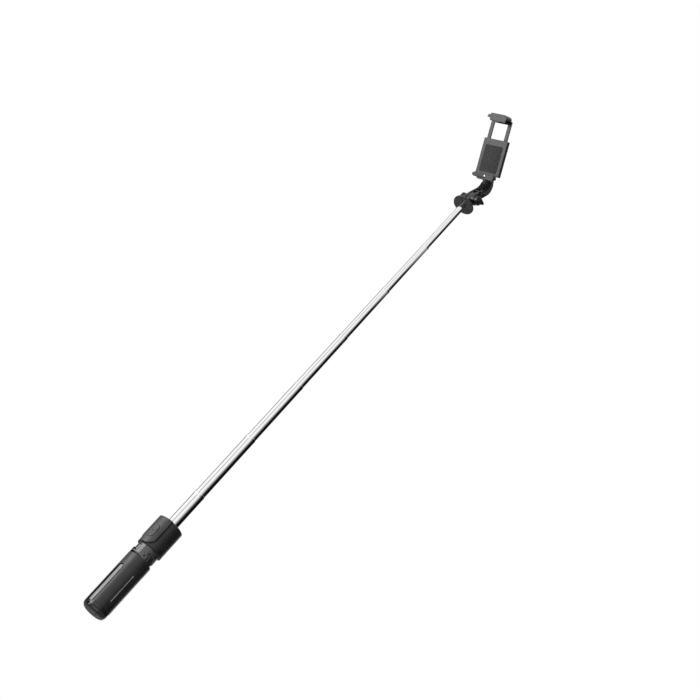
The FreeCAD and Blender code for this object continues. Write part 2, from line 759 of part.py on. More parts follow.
def arm_band(front, rear, x0, x1):
    """The bent strip between two offsets from the arm's middle line; front offsets are negative."""
    slope = arm_slope()
    along = Vector(0, math.cos(slope), math.sin(slope))
    across = Vector(0, math.sin(slope), -math.cos(slope))
    centre = Vector(0, arm_bend_back, arm_bend_up)

    def spoke(offset, angle):
        return centre + Vector(0, math.cos(angle), math.sin(angle)) * (arm_bend_radius + offset)

    first = slope - math.pi / 2
    edges = []
    corners = []
    for offset in (front, rear):
        start = along * (arm_start - 1.5) + across * offset
        bend_in, bend_mid, bend_out = spoke(offset, first), spoke(offset, first / 2), spoke(offset, 0)
        end = Vector(0, arm_plane_back + offset, swivel_up)
        edges.append(Part.makeLine(start, bend_in))
        edges.append(Part.Arc(bend_in, bend_mid, bend_out).toShape())
        edges.append(Part.makeLine(bend_out, end))
        corners.append((start, end))
    edges.append(Part.makeLine(corners[0][0], corners[1][0]))
    edges.append(Part.makeLine(corners[0][1], corners[1][1]))
    wire = Part.Wire(Part.__sortEdges__(edges))
    strip = Part.Face(wire).extrude(Vector(x1 - x0, 0, 0))
    strip.translate(Vector(x0, 0, 0))
    return strip


def arm_outline(inset):
    """The arm's outline from the front, in the (x, up) plane, as a prism along back."""
    wide, narrow, right = arm_foot_half_width - inset, arm_top_half_width - inset, boss_side[1] - inset
    points = [(-wide, -20), (-wide, 10), (-narrow, arm_bend_up + 2), (-narrow, swivel_up),
              (narrow, swivel_up), (narrow, arm_bend_up + 2), (right, 10), (right, -20)]
    return prism([Vector(x, -20, up) for x, up in points], Vector(0, 80, 0))


def boss_block(radius, x0, x1):
    """A block with round ends, from the tilt hinge up to the boss's far end."""
    return joined([rod_x(radius, x0, x1), block(x0, x1, -radius, radius, 0, boss_length),
                   rod_x(radius, x0, x1, 0, boss_length)])


def make_arm():
    """The bent arm: prongs and boss on the tilt hinge, a ribbed strip, and the disc behind the clamp."""
    half = arm_thickness / 2
    left, right = -arm_foot_half_width, boss_side[1]
    band = arm_band(-half, half, left, right).common(arm_outline(0))
    rims = arm_band(-half - arm_rim_rise, half + arm_rim_rise, left, right).common(arm_outline(0)).cut(
        arm_outline(arm_rim_width))
    clamp_sweep = math.hypot(body_half_width, body_height / 2 + 1.0) + 2.0
    rims = rims.cut(block(-30, 30, -30, 60, swivel_up - clamp_sweep, 90))
    disc = rod_y(arm_end_radius, arm_plane_back - half, arm_plane_back + half, 0, swivel_up)
    disc = disc.makeFillet(arm_disc_edge, edges_where(
        disc, lambda box: box.YMin > arm_plane_back + half - 0.1))
    blade = to_head(joined([band, rims, disc]))

    skin = to_head(arm_band(-half - 2, -half + arm_pocket_depth, left, right))
    for corners in arm_pockets:
        tool = prism([Vector(x, -40, hinge_z + rise) for x, rise in corners], Vector(0, 80, 0))
        blade = blade.cut(tool.common(skin))

    prongs = []
    back_lean = 90.0 - math.degrees(arm_slope()) - rest_tilt
    for low_x, high_x in arm_prongs:
        eye = rod_x(arm_prong_radius, low_x, high_x)
        prongs.append(eye.makeFillet(prong_edge, edges_where(eye, lambda box: box.XLength < 0.01)))
        prongs.append(block(low_x, high_x, -half - 0.6, half + 0.6, 0, arm_prong_radius + 4.0))
    low_x, high_x = boss_side
    prongs.append(boss_block(boss_radius, low_x, high_x))
    rim_x = high_x + boss_rim_rise
    outer = boss_block(boss_radius, high_x - 0.1, rim_x)
    inner = boss_block(boss_radius - boss_rim, high_x - 1, rim_x + 1)
    rim = outer.cut(inner)
    prongs.append(rim.makeFillet(prong_edge, edges_where(rim, lambda box: box.XMin > rim_x - 0.01)))
    foot = lean(joined(prongs), back_lean)
    arm = joined([blade, foot])
    room = rod_x(arm_start, -20, boss_side[0], 0, hinge_z)
    for low_x, high_x in arm_prongs:
        room = room.cut(rod_x(30, low_x, high_x, 0, hinge_z))
    arm = arm.cut(room)
    arm = arm.cut(rod_x(bolt_radius + swivel_fit, -20, 20, 0, hinge_z))
    bore = to_head(rod_y(rivet_radius + swivel_fit, 0, 60, 0, swivel_up))
    parts["arm"] = arm.cut(bore)


# Phone clamp ------------------------------------------------------------------------------------------

def rounded_bar(x0, x1, y0, y1, z0, z1, radius, edge):
    """A bar along x, rounded at its corners in the (x, up) plane and less along its other edges."""
    bar = block(x0, x1, y0, y1, z0, z1)
    bar = bar.makeFillet(radius, edges_where(bar, lambda box: box.YLength > 0.5 * (y1 - y0)))
    return bar.makeFillet(edge, edges_where(bar, lambda box: box.YLength < 0.01))


def make_clamp():
    """The lower jaw with its channel, the cover behind it, pads, plate, swivel rivet and springs."""
    body = rounded_bar(-body_half_width, body_half_width, 0, body_depth, -body_foot, body_height,
                       body_corner, body_edge)
    body = body.cut(block(-channel_half_width, channel_half_width, channel_wall, body_depth + 1,
                          channel_floor, body_height + 1))
    shelf = rounded_bar(jaw_left, body_half_width, -jaw_depth, -jaw_rear, -jaw_height, -pad_proud,
                        jaw_corner, jaw_edge)
    neck_half_width = body_half_width - neck_inset
    neck = block(-neck_half_width, neck_half_width, -jaw_rear - 1.0, body_depth, -neck_drop, -pad_proud)
    root = block(-neck_half_width, neck_half_width, 0, body_depth, -neck_drop, neck_rise)
    root = root.cut(block(-channel_half_width, channel_half_width, channel_wall, body_depth + 1,
                          channel_floor, neck_rise + 1))
    step = rounded_bar(step_left_inset - body_half_width, body_half_width - step_right_inset,
                       step_inset - jaw_depth, -jaw_rear - 0.5, -jaw_height - step_height,
                       1.5 - jaw_height, step_corner, jaw_edge)
    lip = rounded_bar(jaw_left + 1.0, body_half_width - 1.0, -jaw_depth, lip_depth - jaw_depth, -2.0,
                      lip_height, lip_corner, jaw_edge)
    front_block = rounded_bar(front_block_start, body_half_width + 0.3, -jaw_depth - front_block_proud,
                              1.0 - jaw_depth, -jaw_height - 1.9, 1.0, front_block_corner, jaw_edge)
    body = joined([body, shelf, neck, root, step, lip, front_block])
    pad_half_width = body_half_width - pad_margin
    pad_front, pad_back = -jaw_depth + lip_depth + pad_front_gap, -pad_back_gap
    back_pad_half_width = body_half_width - back_pad_margin
    back_pad_high = body_height - back_pad_drop
    body = body.cut(block(-pad_half_width, pad_half_width, pad_front, pad_back, -pad_thickness, 0.5))
    body = body.cut(block(-back_pad_half_width, back_pad_half_width, -0.5, pad_proud, back_pad_low,
                          back_pad_high))
    screw_places = [(side * (body_half_width - cover_screw_inset), up) for side in (-1, 1)
                    for up in (cover_screw_low, body_height - cover_screw_drop)]
    for x, up in screw_places:
        body = body.cut(rod_y(screw_radius, channel_wall, body_depth + 1, x, up))
    pin_x, pin_up = plate_pin
    body = body.cut(rod_y(screw_radius, -jaw_depth - 2, 1.5 - jaw_depth, pin_x, pin_up))
    parts["clamp_body"] = to_clamp(body)

    plate_face = -jaw_depth - plate_proud
    plate = rounded_bar(plate_left_inset - body_half_width, front_block_start - 0.2, plate_face, -jaw_depth,
                        0.6 - jaw_height, 0.2, lip_corner, plate_edge)
    plate = plate.cut(rod_y(screw_radius, -30, 0, pin_x, pin_up))
    pin = rod_y(screw_radius, plate_face, 1.5 - jaw_depth, pin_x, pin_up).fuse(
        rod_y(plate_pin_head_radius, plate_face - plate_pin_head, plate_face, pin_x, pin_up))
    parts["jaw_plate"] = to_clamp(plate)
    parts["jaw_plate_pin"] = to_clamp(pin)
    parts["lower_pad"] = to_clamp(block(-pad_half_width, pad_half_width, pad_front, pad_back,
                                        -pad_thickness, 0))
    parts["back_pad"] = to_clamp(block(-back_pad_half_width, back_pad_half_width, pad_proud - pad_thickness,
                                       pad_proud, back_pad_low, back_pad_high))

    cover_back = body_depth + cover_thickness
    cover = rounded_bar(-body_half_width, body_half_width, body_depth, cover_back, -body_foot, body_height,
                        body_corner, body_edge)
    cover = cover.cut(rod_y(rivet_radius, 0, 30, 0, swivel_local_up))
    head_front = cover_back - cover_screw_head_height
    screws = []
    for x, up in screw_places:
        cover = cover.cut(rod_y(cover_screw_head_radius, head_front, 30, x, up))
        cover = cover.cut(rod_y(screw_radius, 0, 30, x, up))
        head = rod_y(cover_screw_head_radius, head_front, cover_back, x, up)
        head = head.cut(rod_y(cover_screw_socket_radius, head_front + 0.25, cover_back + 1, x, up))
        screws.append(head.fuse(rod_y(screw_radius, channel_wall, head_front, x, up)))
    parts["clamp_cover"] = to_clamp(cover)
    parts["cover_screws"] = to_clamp(Part.makeCompound(screws))

    arm_rear = cover_back + arm_gap + arm_thickness
    rivet_end = arm_rear + 0.1 + rivet_head_height
    rivet_head = rod_y(rivet_head_radius, arm_rear + 0.1, rivet_end, 0, swivel_local_up)
    rivet_head = rivet_head.makeFillet(rivet_head_edge, edges_where(
        rivet_head, lambda box: box.YMin > rivet_end - 0.1))
    flange_front = body_depth - rivet_flange_thickness
    rivet = joined([rivet_head, rod_y(rivet_radius, flange_front, arm_rear + 0.2, 0, swivel_local_up),
                    rod_y(rivet_radius + rivet_flange, flange_front, body_depth, 0, swivel_local_up)])
    parts["swivel_rivet"] = to_clamp(rivet)
    washer = rod_y(swivel_washer_radius, cover_back, cover_back + arm_gap - 0.03, 0, swivel_local_up).cut(
        rod_y(rivet_radius, 0, 30, 0, swivel_local_up))
    parts["swivel_washer"] = to_clamp(washer)


def coil_spring(x, back, foot, head):
    """A compression spring that stands up from the crossbar."""
    path = Part.makeHelix((head - foot) / spring_turns, head - foot, spring_radius)
    start = Part.Wire([Part.makeCircle(spring_wire_radius, Vector(spring_radius, 0, 0), Vector(0, 1, 0))])
    spring = Part.Wire(path.Edges).makePipeShell([start], True, True)
    spring.translate(Vector(x, back, foot))
    return spring


def make_upper_jaw():
    """The sliding upper jaw with its rails and pad, and the springs that pull it down."""
    rail_front = channel_wall + slide_gap
    rail_back = rail_front + rail_thickness
    rail_foot = channel_floor + jaw_closes + 0.5
    outer_x = channel_half_width - slide_gap
    front = -jaw_depth - 0.2
    left, right = upper_left_inset - body_half_width, body_half_width - upper_right_inset
    top = jaw_opening + upper_jaw_height
    hook = block(left, right, front, rail_back, jaw_opening + pad_proud, top)
    for x, corner in zip((left, right), upper_corners):
        hook = hook.makeFillet(corner, edges_where(
            hook, lambda box: box.YLength > 1 and box.ZMin > top - 0.01 and abs(box.XMin - x) < 0.01))
    hook = hook.makeFillet(jaw_edge, edges_where(
        hook, lambda box: box.YLength < 0.01 and box.ZMax > jaw_opening + 1))
    foot_left, foot_top = upper_foot_inset - body_half_width, jaw_opening + upper_foot_height
    foot = rounded_bar(foot_left, right - 1.0, front, rail_front, jaw_opening + pad_proud, foot_top,
                       lip_corner, jaw_edge)
    yoke = block(-outer_x, outer_x, rail_front, rail_back, jaw_opening - yoke_drop, jaw_opening + yoke_height)
    lip = rounded_bar(left + 0.5, right - 0.5, front, front + lip_depth, jaw_opening - upper_lip_height,
                      jaw_opening + 3.0, lip_corner, jaw_edge)
    solids = [hook, foot, yoke, lip]
    for side in (-1, 1):
        x0, x1 = sorted((side * (outer_x - rail_width), side * outer_x))
        solids.append(block(x0, x1, rail_front, rail_back, rail_foot, jaw_opening))
    solids.append(block(-outer_x, outer_x, rail_front, rail_back, rail_foot, rail_foot + crossbar_height))
    nub = rod_y(nub_radius, 0.5 - jaw_depth, rail_front - 0.5, foot_left + nub_inset, foot_top)
    jaw = joined(solids + [nub])
    pad_front, pad_back = -jaw_depth + lip_depth + pad_front_gap, -pad_back_gap
    pad_half_width = body_half_width - pad_margin - 1.0
    pad = block(-pad_half_width, pad_half_width, pad_front, pad_back, jaw_opening,
                jaw_opening + pad_thickness)
    parts["upper_jaw"] = to_clamp(jaw.cut(pad))
    parts["upper_pad"] = to_clamp(pad)
    parts["jaw_springs"] = to_clamp(Part.makeCompound(
        [coil_spring(side * spring_side, (rail_front + rail_back) / 2, rail_foot + crossbar_height + 0.3,
                     body_height - 2.5) for side in (-1, 1)]))


def main():
    """Builds every piece and writes one STEP file each."""
    make_collar()
    make_core()
    make_hub()
    make_legs()
    make_remote()
    make_pole()
    make_cap()
    make_knob()
    make_arm()
    make_clamp()
    make_upper_jaw()
    os.makedirs("parts", exist_ok=True)
    for name, shape in parts.items():
        shape.exportStep("parts/%s.step" % name)
        print("%-24s solids %d valid %s volume %.1f mm3" % (
            name, len(shape.Solids), shape.isValid(), shape.Volume))


main()
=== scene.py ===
"""Looks for the selfie stick: finishes for every CAD node, detailed pieces, studio light and camera.

Row frame, in metres: +Z runs up the pole from the handle's end, -Y is the front (the side of the remote
and of the phone's screen) and +X is the side of the thumb knob.
"""
import logging
import math
from collections.abc import Callable
from dataclasses import dataclass
from enum import Enum

import bmesh
import bpy
from mathutils import Matrix, Vector


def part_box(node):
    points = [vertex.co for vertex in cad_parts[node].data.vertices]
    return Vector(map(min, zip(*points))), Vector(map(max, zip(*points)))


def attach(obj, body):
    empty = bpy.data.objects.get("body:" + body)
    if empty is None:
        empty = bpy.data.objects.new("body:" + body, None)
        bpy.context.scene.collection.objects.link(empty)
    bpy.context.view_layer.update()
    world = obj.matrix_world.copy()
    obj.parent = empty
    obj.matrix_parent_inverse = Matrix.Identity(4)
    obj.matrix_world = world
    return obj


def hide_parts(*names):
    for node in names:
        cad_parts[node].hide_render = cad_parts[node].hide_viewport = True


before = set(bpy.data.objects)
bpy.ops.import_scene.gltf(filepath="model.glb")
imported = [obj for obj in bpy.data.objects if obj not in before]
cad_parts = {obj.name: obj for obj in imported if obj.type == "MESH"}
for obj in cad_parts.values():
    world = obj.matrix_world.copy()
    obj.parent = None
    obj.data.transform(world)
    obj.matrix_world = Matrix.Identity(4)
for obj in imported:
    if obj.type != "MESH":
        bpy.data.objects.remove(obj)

MM = 0.001
log = logging.getLogger("selfie_stick")


class Texture(Enum):
    """How the skin of a moulded or metal piece is finished."""

    SPARK = "spark-eroded matt"
    SATIN = "satin"
    POLISHED = "polished"
    BRUSHED = "brushed along the pole"


SKIN_DEPTH = {Texture.SPARK: 0.016 * MM, Texture.SATIN: 0.012 * MM, Texture.POLISHED: 0.004 * MM,
              Texture.BRUSHED: 0.02 * MM}


# Node graphs and finishes ------------------------------------------------------------------------------


class Graph:
    """A material's node tree with one Principled shader, and short calls for the nodes used here."""

    def __init__(self, name: str) -> None:
        """Starts an empty material.

        Args:
            name: the material's name.
        """
        self.material = bpy.data.materials.new(name)
        self.material.use_nodes = True
        self.tree = self.material.node_tree
        self.tree.nodes.clear()
        self.output = self.tree.nodes.new("ShaderNodeOutputMaterial")
        self.shader = self.tree.nodes.new("ShaderNodeBsdfPrincipled")
        self.link(self.shader.outputs["BSDF"], self.output.inputs["Surface"])
        self.place = self.tree.nodes.new("ShaderNodeTexCoord").outputs["Object"]

    def link(self, source: bpy.types.NodeSocket, target: bpy.types.NodeSocket) -> None:
        """Joins two sockets."""
        self.tree.links.new(source, target)

    def set(self, socket: str, value: float | tuple[float, ...]) -> None:
        """Sets one of the shader's own sockets."""
        self.shader.inputs[socket].default_value = value

    def noise(self, size: float, detail: float = 3.0,
              stretch: tuple[float, float, float] = (1.0, 1.0, 1.0)) -> bpy.types.NodeSocket:
        """Adds a noise in the piece's own coordinates.

        Args:
            size: the grain's size in metres.
            detail: the number of finer layers.
            stretch: how much longer the grain is along each axis.

        Returns:
            The noise's factor socket.
        """
        mapping = self.tree.nodes.new("ShaderNodeMapping")
        mapping.inputs["Scale"].default_value = [1.0 / long for long in stretch]
        self.link(self.place, mapping.inputs["Vector"])
        node = self.tree.nodes.new("ShaderNodeTexNoise")
        node.inputs["Scale"].default_value = 1.0 / size
        node.inputs["Detail"].default_value = detail
        self.link(mapping.outputs["Vector"], node.inputs["Vector"])
        return node.outputs["Fac"]

    def span(self, factor: bpy.types.NodeSocket, low: float, high: float, start: float = 0.3,
             end: float = 0.7) -> bpy.types.NodeSocket:
        """Maps a factor from start..end to low..high.

        Args:
            factor: the incoming factor.
            low: the value at start.
            high: the value at end.
            start: the factor that gives low.
            end: the factor that gives high.

        Returns:
            The mapped value.
        """
        node = self.tree.nodes.new("ShaderNodeMapRange")
        for key, value in (("From Min", start), ("From Max", end), ("To Min", low), ("To Max", high)):
            node.inputs[key].default_value = value
        self.link(factor, node.inputs["Value"])
        return node.outputs["Result"]

    def blend(self, factor: bpy.types.NodeSocket, first: tuple[float, ...],
              second: tuple[float, ...]) -> bpy.types.NodeSocket:
        """Mixes two colours.

        Args:
            factor: 0 for the first colour, 1 for the second.
            first: the first colour.
            second: the second colour.

        Returns:
            The mixed colour.
        """
        node = self.tree.nodes.new("ShaderNodeMix")
        node.data_type = "RGBA"
        self.link(factor, node.inputs["Factor"])
        node.inputs["A"].default_value = (*first, 1.0)
        node.inputs["B"].default_value = (*second, 1.0)
        return node.outputs["Result"]

    def bump(self, height: bpy.types.NodeSocket, depth: float, strength: float) -> None:
        """Raises the surface by a height, after any bump that is already there.

        Args:
            height: the height's factor.
            depth: the full height in metres.
            strength: how much of it shows.
        """
        node = self.tree.nodes.new("ShaderNodeBump")
        node.inputs["Distance"].default_value = depth
        node.inputs["Strength"].default_value = strength
        self.link(height, node.inputs["Height"])
        normal = self.shader.inputs["Normal"]
        if normal.is_linked:
            self.link(normal.links[0].from_socket, node.inputs["Normal"])
        self.link(node.outputs["Normal"], normal)


@dataclass(frozen=True)
class Moulded:
    """A moulded plastic or rubber: tint, skin texture, faint mottle and handling scuffs."""

    name: str
    colour: tuple[float, float, float]
    roughness: float
    texture: Texture = Texture.SPARK
    grain: float = 0.35 * MM
    scuffs: float = 0.5
    mottle: float = 9.0 * MM
    light_gain: float = 1.22
    light_lift: float = 0.003
    dark_gain: float = 0.86
    wear: float = 2.6 * MM
    wear_stretch: tuple[float, float, float] = (1.0, 1.0, 3.0)
    wear_spread: float = 0.09
    skin_strength: float = 0.6

    def build(self) -> bpy.types.Material:
        """Returns the material."""
        graph = Graph(self.name)
        mottle = graph.noise(self.mottle, 4.0)
        light = tuple(min(1.0, part * self.light_gain + self.light_lift) for part in self.colour)
        dark = tuple(part * self.dark_gain for part in self.colour)
        graph.link(graph.blend(graph.span(mottle, 0.0, 1.0), dark, light), graph.shader.inputs["Base Color"])
        wear = graph.noise(self.wear, 6.0, self.wear_stretch)
        spread = self.wear_spread * self.scuffs
        graph.link(graph.span(wear, self.roughness - spread, self.roughness + spread),
                   graph.shader.inputs["Roughness"])
        graph.bump(graph.noise(self.grain, 2.0), SKIN_DEPTH[self.texture], self.skin_strength)
        return graph.material


@dataclass(frozen=True)
class Metal:
    """A plated or bare metal: tint, fine lines along the pole and fingerprints in the polish."""

    name: str
    colour: tuple[float, float, float]
    roughness: float
    texture: Texture = Texture.POLISHED
    smudge: float = 0.03
    haze: float = 14.0 * MM
    dull_gain: float = 0.95
    prints: float = 5.0 * MM
    prints_stretch: tuple[float, float, float] = (1.0, 1.0, 2.0)
    line_width: float = 0.12 * MM
    line_depth: float = 0.004 * MM

    def build(self) -> bpy.types.Material:
        """Returns the material."""
        graph = Graph(self.name)
        graph.set("Metallic", 1.0)
        haze = graph.noise(self.haze, 5.0)
        dull = tuple(part * self.dull_gain for part in self.colour)
        graph.link(graph.blend(graph.span(haze, 0.0, 1.0), self.colour, dull),
                   graph.shader.inputs["Base Color"])
        prints = graph.noise(self.prints, 6.0, self.prints_stretch)
        graph.link(graph.span(prints, self.roughness, self.roughness + self.smudge, 0.45, 0.75),
                   graph.shader.inputs["Roughness"])
        long, strength = (60.0, 0.35) if self.texture is Texture.BRUSHED else (25.0, 0.05)
        graph.bump(graph.noise(self.line_width, 2.0, (1.0, 1.0, long)), self.line_depth, strength)
        return graph.material


@dataclass(frozen=True)
class Ribbed:
    """A soft rubber with very fine cross lines, for the strip on the front leg and the jaw's plate."""

    name: str
    colour: tuple[float, float, float]
    roughness: float
    pitch: float = 0.9 * MM
    along: tuple[float, float, float] = (0.0, 0.0, 1.0)
    mottle: float = 6.0 * MM
    dark_gain: float = 0.88
    wear: float = 1.2 * MM
    wear_spread: float = 0.06
    rib_depth: float = 0.06 * MM
    grain: float = 0.3 * MM
    grain_depth: float = 0.02 * MM

    def build(self) -> bpy.types.Material:
        """Returns the material."""
        graph = Graph(self.name)
        mottle = graph.noise(self.mottle, 4.0)
        dark = tuple(part * self.dark_gain for part in self.colour)
        graph.link(graph.blend(graph.span(mottle, 0.0, 1.0), self.colour, dark),
                   graph.shader.inputs["Base Color"])
        wear = graph.noise(self.wear, 5.0)
        graph.link(graph.span(wear, self.roughness - self.wear_spread, self.roughness + self.wear_spread),
                   graph.shader.inputs["Roughness"])
        dot = graph.tree.nodes.new("ShaderNodeVectorMath")
        dot.operation = "DOT_PRODUCT"
        dot.inputs[1].default_value = Vector(self.along) * (2.0 * math.pi / self.pitch)
        graph.link(graph.place, dot.inputs[0])
        wave = graph.tree.nodes.new("ShaderNodeMath")
        wave.operation = "SINE"
        graph.link(dot.outputs["Value"], wave.inputs[0])
        graph.bump(graph.span(wave.outputs[0], 0.0, 1.0, -1.0, 1.0), self.rib_depth, 0.5)
        graph.bump(graph.noise(self.grain, 2.0), self.grain_depth, 0.4)
        return graph.material


@dataclass(frozen=True)
class CircuitBoard:
    """Green solder mask over faint copper tracks."""

    name: str
    mask: tuple[float, float, float] = (0.015, 0.12, 0.05)
    track: tuple[float, float, float] = (0.05, 0.27, 0.11)
    track_pitch: float = 1.6 * MM
    track_rise: float = 0.03 * MM

    def build(self) -> bpy.types.Material:
        """Returns the material."""
        graph = Graph(self.name)
        graph.set("Coat Weight", 0.4)
        cells = graph.tree.nodes.new("ShaderNodeTexVoronoi")
        cells.distance = "MANHATTAN"
        cells.feature = "DISTANCE_TO_EDGE"
        cells.inputs["Scale"].default_value = 1.0 / self.track_pitch
        graph.link(graph.place, cells.inputs["Vector"])
        tracks = graph.span(cells.outputs["Distance"], 1.0, 0.0, 0.05, 0.12)
        graph.link(graph.blend(tracks, self.mask, self.track), graph.shader.inputs["Base Color"])
        graph.link(graph.span(graph.noise(0.8 * MM), 0.3, 0.42), graph.shader.inputs["Roughness"])
        graph.bump(tracks, self.track_rise, 0.5)
        return graph.material


FINISHES = {
    "pole_chrome": Metal("chrome_plate", (0.93, 0.935, 0.945), 0.045),
    "shim_brass": Metal("brass_shim", (0.80, 0.60, 0.30), 0.26, Texture.BRUSHED),
    "core_aluminium": Metal("drawn_aluminium", (0.72, 0.73, 0.74), 0.3, Texture.BRUSHED),
    "hardware_steel": Metal("zinc_steel", (0.60, 0.60, 0.61), 0.24, Texture.SATIN, 0.1),
    "cell_steel": Metal("cell_can", (0.70, 0.70, 0.69), 0.2, Texture.SATIN, 0.08),
    "leg_black": Moulded("leg_plastic", (0.016, 0.016, 0.0165), 0.42),
    "foot_black": Moulded("foot_plastic", (0.014, 0.014, 0.0145), 0.24, Texture.POLISHED),
    "collar_black": Moulded("collar_plastic", (0.015, 0.015, 0.0155), 0.42),
    # Glossy black hub lifted to a dark grey: the lift is painted sheen for the white studio reflected in its
    # gloss.
    "hub_gloss_black": Moulded("hub_plastic_painted_sheen", (0.075, 0.075, 0.077), 0.26, Texture.POLISHED),
    "remote_grey": Moulded("remote_plastic", (0.026, 0.026, 0.027), 0.46),
    "button_grey": Moulded("button_rubber", (0.031, 0.031, 0.032), 0.5),
    "bush_black": Moulded("acetal_bush", (0.022, 0.022, 0.023), 0.34, Texture.SATIN),
    "cap_black": Moulded("cap_plastic", (0.030, 0.030, 0.031), 0.42),
    "head_black": Moulded("head_plastic", (0.007, 0.007, 0.0073), 0.34),
    "pad_rubber": Moulded("pad_rubber", (0.020, 0.020, 0.020), 0.62, Texture.SATIN, 0.2 * MM),
    "strip_grey": Ribbed("strip_silicone", (0.24, 0.24, 0.243), 0.46),
    "plate_grey": Ribbed("plate_plastic", (0.026, 0.026, 0.027), 0.42, 1.1 * MM, (1.0, 0.0, 0.0)),
    "board_green": CircuitBoard("solder_mask"),
}
# Nodes that look different from the rest of their slot.
NODE_FINISHES = {
    "hinge_pins": Metal("black_oxide", (0.05, 0.05, 0.052), 0.38, Texture.SATIN, 0.08),
    # Painted highlight: the side line's light grey stands for the lit wall of the groove on leg 2.
    "leg_2_side_line": Moulded("line_painted_highlight", (0.40, 0.40, 0.404), 0.34, Texture.SATIN),
}


class Finishes:
    """Makes each finish once and gives it to nodes and pieces."""

    def __init__(self) -> None:
        """Builds every finish."""
        self.materials = {slot: finish.build() for slot, finish in FINISHES.items()}
        self.node_materials = {node: finish.build() for node, finish in NODE_FINISHES.items()}

    def dress_nodes(self) -> None:
        """Gives every CAD node its own finish, or else that of its material slot."""
        for name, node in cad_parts.items():
            for slot in node.material_slots:
                plain = self.materials[slot.material.name.split(".")[0]]
                slot.material = self.node_materials.get(name, plain)
            log.info("CAD node %s dressed", name)

    def dress(self, piece: bpy.types.Object, slot: str) -> None:
        """Gives a new piece the finish of a material slot.

        Args:
            piece: the new piece.
            slot: the record's material slot.
        """
        piece.data.materials.clear()
        piece.data.materials.append(self.materials[slot])


# Modelling helpers -------------------------------------------------------------------------------------


def deselect() -> None:
    """Leaves no object selected."""
    bpy.ops.object.select_all(action="DESELECT")


def begin_edit() -> None:
    """Opens the active mesh with everything in it selected."""
    bpy.ops.object.mode_set(mode="EDIT")
    bpy.ops.mesh.select_all(action="SELECT")


def end_edit() -> None:
    """Closes the active mesh."""
    bpy.ops.object.mode_set(mode="OBJECT")


def select_faces(piece: bpy.types.Object, test: Callable[[bmesh.types.BMFace], bool]) -> None:
    """Selects the faces of the mesh being edited that pass a test.

    Args:
        piece: the object in edit mode.
        test: takes a face and says whether it is selected.
    """
    bpy.ops.mesh.select_all(action="DESELECT")
    bpy.ops.mesh.select_mode(type="FACE")
    mesh = bmesh.from_edit_mesh(piece.data)
    for face in mesh.faces:
        if test(face):
            face.select_set(True)
    bmesh.update_edit_mesh(piece.data)


def apply_modifier(piece: bpy.types.Object, kind: str, **settings: object) -> None:
    """Adds a modifier and applies it.

    Args:
        piece: the object it works on.
        kind: the modifier's type.
        **settings: the modifier's own settings.
    """
    deselect()
    piece.select_set(True)
    bpy.context.view_layer.objects.active = piece
    modifier = piece.modifiers.new(kind.lower(), kind)
    for key, value in settings.items():
        setattr(modifier, key, value)
    bpy.ops.object.modifier_apply(modifier=modifier.name)


def settle(piece: bpy.types.Object, place: Matrix, angle: float = 32.0) -> None:
    """Puts a finished mesh in the row frame, with its object at the origin, and shades it.

    Args:
        piece: the finished object, still at its bench place.
        place: the matrix from the bench to the row frame.
        angle: the sharpest smooth edge, in degrees.
    """
    piece.data.transform(place @ piece.matrix_world)
    piece.matrix_world = Matrix.Identity(4)
    deselect()
    piece.select_set(True)
    bpy.context.view_layer.objects.active = piece
    begin_edit()
    bpy.ops.mesh.remove_doubles(threshold=0.002 * MM)
    bpy.ops.mesh.normals_make_consistent(inside=False)
    end_edit()
    bpy.ops.object.shade_smooth_by_angle(angle=math.radians(angle))


def lathe(name: str, profile: list[tuple[float, float]], segments: int = 64,
          closed: bool = False) -> bpy.types.Object:
    """Turns a profile about Z by drawing one ring and extruding it from station to station.

    Args:
        name: the piece's name.
        profile: (radius, height) stations in metres.
        segments: the number of steps round the ring.
        closed: True for a sleeve whose last station meets the first; otherwise both ends are capped.

    Returns:
        The turned object.
    """
    deselect()
    radius, height = profile[0]
    bpy.ops.mesh.primitive_circle_add(vertices=segments, radius=radius, location=(0.0, 0.0, 0.0),
                                      fill_type="NOTHING")
    piece = bpy.context.object
    piece.name = piece.data.name = name
    begin_edit()
    bpy.ops.transform.translate(value=(0.0, 0.0, height))
    if not closed:
        bpy.ops.mesh.edge_face_add()
        bpy.ops.mesh.select_mode(type="EDGE")
        bpy.ops.mesh.region_to_loop()
    stations = profile[1:] + ([profile[0]] if closed else [])
    for next_radius, next_height in stations:
        bpy.ops.mesh.extrude_region_move(TRANSFORM_OT_translate={"value": (0.0, 0.0, next_height - height)})
        scale = next_radius / radius
        bpy.ops.transform.resize(value=(scale, scale, 1.0), center_override=(0.0, 0.0, next_height))
        radius, height = next_radius, next_height
    if not closed:
        bpy.ops.mesh.edge_face_add()
    end_edit()
    return piece


def rounded(radius: float, height: float, corner: float, up: bool = True, steps: int = 4
            ) -> list[tuple[float, float]]:
    """Stations of a rounded rim at the end of a turned piece.

    Args:
        radius: the piece's radius below the rim.
        height: the height of the rim's top, or of its foot if up is False.
        corner: the rim's rounding.
        up: True for the upper rim.
        steps: the number of steps in the quarter turn.

    Returns:
        The stations in order up the piece.
    """
    sign = 1.0 if up else -1.0
    stations = []
    for step in range(steps + 1):
        turn = math.radians(90.0 * step / steps)
        stations.append((radius - corner * (1.0 - math.cos(turn)),
                         height - sign * corner * (1.0 - math.sin(turn))))
    return stations if up else stations[::-1]


def extent(node: str, direction: Vector) -> tuple[float, float]:
    """How far a CAD node reaches along a direction.

    Args:
        node: the node's name.
        direction: a unit vector in the row frame.

    Returns:
        The lowest and highest reach in metres.
    """
    reaches = [vertex.co.dot(direction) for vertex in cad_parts[node].data.vertices]
    return min(reaches), max(reaches)


